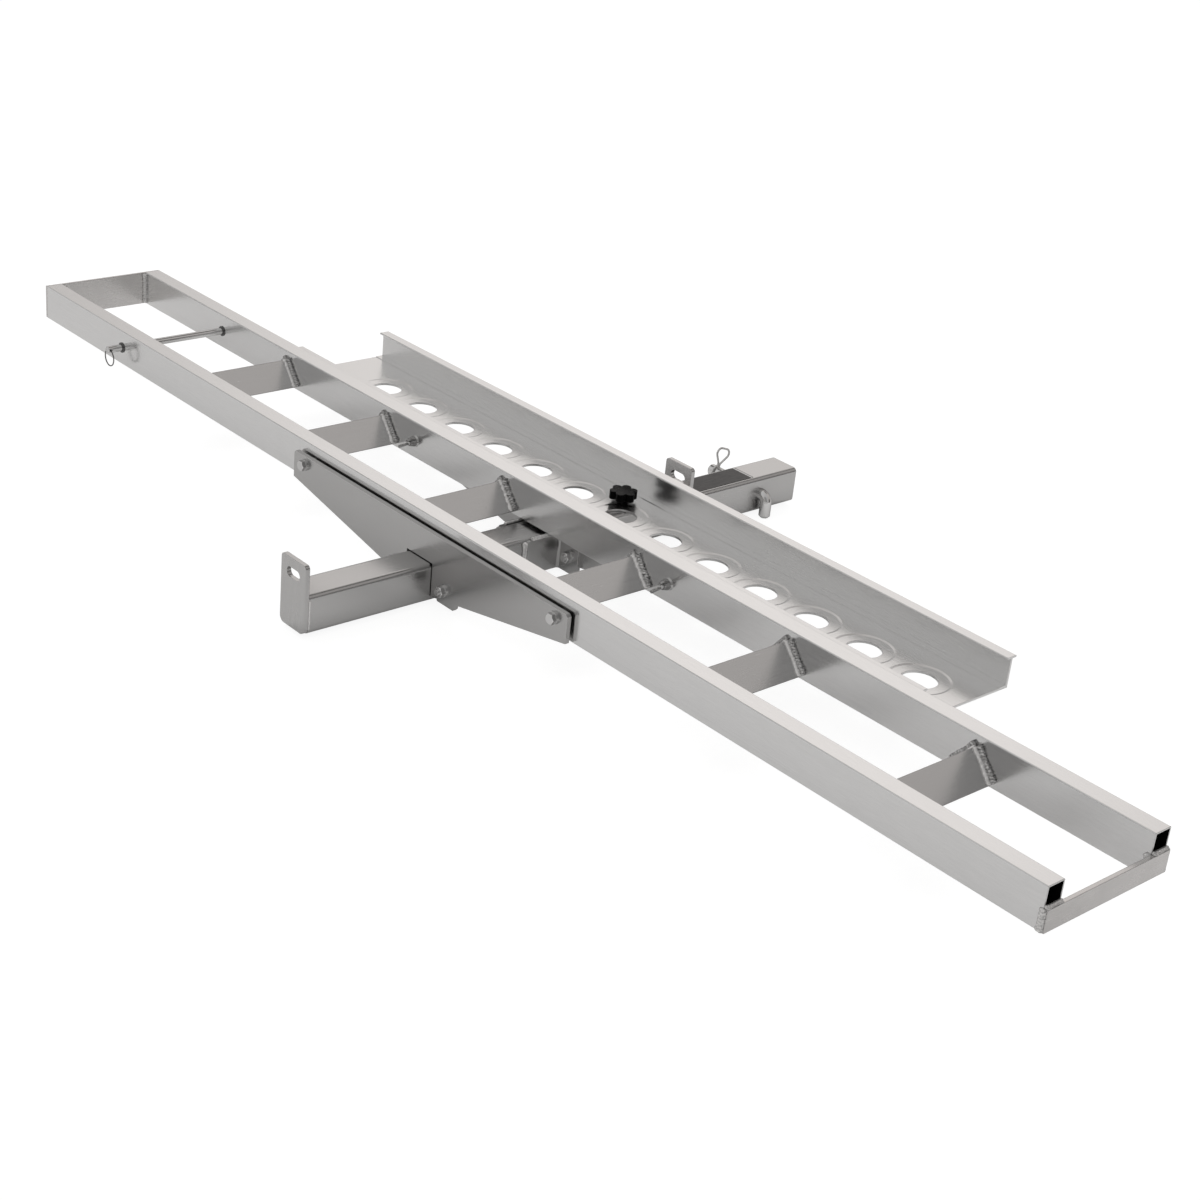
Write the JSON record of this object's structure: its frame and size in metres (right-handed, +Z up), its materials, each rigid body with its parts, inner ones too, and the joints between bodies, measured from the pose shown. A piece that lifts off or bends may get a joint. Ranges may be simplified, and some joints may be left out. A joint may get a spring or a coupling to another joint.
{
  "type": "hitch motorcycle carrier",
  "caption": "Hitch-mounted motorcycle carrier: an open wheel track of rails and rungs bolted across a square shank, with a stowed loading ramp, tie-down lugs and hitch pin.",
  "frame": {"origin": "centre of the hitch pin hole, on the middle line of the square shank", "axes": "+Y along the shank towards the vehicle, +X along the wheel track towards its loading end, +Z up"},
  "size_m": [1.914, 0.817, 0.109],
  "materials": {
    "rail_aluminium": "satin mill finish with fine lengthwise grain",
    "ramp_aluminium": "satin mill finish",
    "shank_steel": "satin plated steel, lightly brushed",
    "plate_steel": "satin plated steel, lightly brushed",
    "zinc_hardware": "bright zinc plating",
    "knob_black": "moulded, slightly glossy",
    "label_black": "blank printed film"
  },
  "bodies": {
    "carrier": {"hitch_tube": "shank_steel", "near_lug": "shank_steel", "far_lug": "shank_steel", "blank_label": "label_black", "front_rail": "rail_aluminium", "back_rail": "rail_aluminium", "left_end_plate": "rail_aluminium", "right_end_bar": "rail_aluminium", "rung_1": "rail_aluminium", "rung_2": "rail_aluminium", "rung_3": "rail_aluminium", "rung_4": "rail_aluminium", "rung_5": "rail_aluminium", "rung_6": "rail_aluminium", "front_gusset": "plate_steel", "rear_gusset": "plate_steel", "bracket_front_left": "plate_steel", "bracket_front_right": "plate_steel", "bracket_rear_left": "plate_steel", "bracket_rear_right": "plate_steel", "bracket_bolts": "zinc_hardware", "bracket_washers": "zinc_hardware", "bracket_nuts": "zinc_hardware", "end_bolts": "zinc_hardware", "end_washers": "zinc_hardware", "end_nuts": "zinc_hardware", "gusset_spacers": "zinc_hardware", "wing_bolts": "zinc_hardware", "wing_jam_nuts": "zinc_hardware", "wing_washers": "zinc_hardware", "knob_weld_nut": "shank_steel", "front_sleeve": "zinc_hardware", "back_sleeve": "zinc_hardware"},
    "ramp": {"ramp": "ramp_aluminium"},
    "knob": {"star_knob": "knob_black", "knob_stud": "zinc_hardware"},
    "wing_left": {"wing_nut_left": "zinc_hardware"},
    "wing_right": {"wing_nut_right": "zinc_hardware"},
    "ramp_pin": {"ramp_pin": "zinc_hardware"},
    "pull_ring": {"pull_ring": "zinc_hardware"},
    "hitch_pin": {"hitch_pin": "zinc_hardware"},
    "hitch_clip": {"hitch_clip": "zinc_hardware"}
  },
  "joints": [
    {"name": "ramp_lift", "type": "slide", "parent": "carrier", "child": "ramp", "axis": [0, 0, 1], "range_m": [0, 0.25]},
    {"name": "knob_turn", "type": "hinge", "parent": "ramp", "child": "knob", "pos_m": [0, -0.2375, 0.0261], "axis": [0, 0, 1], "continuous": true},
    {"name": "wing_left_turn", "type": "hinge", "parent": "carrier", "child": "wing_left", "pos_m": [-0.252, -0.3915, 0.052], "axis": [0, -1, 0], "continuous": true},
    {"name": "wing_right_turn", "type": "hinge", "parent": "carrier", "child": "wing_right", "pos_m": [0.252, -0.3915, 0.052], "axis": [0, -1, 0], "continuous": true},
    {"name": "ramp_pin_pull", "type": "slide", "parent": "carrier", "child": "ramp_pin", "axis": [0, -1, 0], "range_m": [0, 0.19]},
    {"name": "ring_swing", "type": "hinge", "parent": "ramp_pin", "child": "pull_ring", "pos_m": [-0.734, -0.5785, 0.054], "axis": [1, 0, 0], "range_deg": [-120, 45]},
    {"name": "hitch_pin_slide", "type": "slide", "parent": "carrier", "child": "hitch_pin", "axis": [1, 0, 0], "range_m": [0, 0.036]},
    {"name": "clip_pull", "type": "slide", "parent": "hitch_pin", "child": "hitch_clip", "axis": [0, 0.342, 0.9397], "range_m": [0, 0.05]}
  ]
}
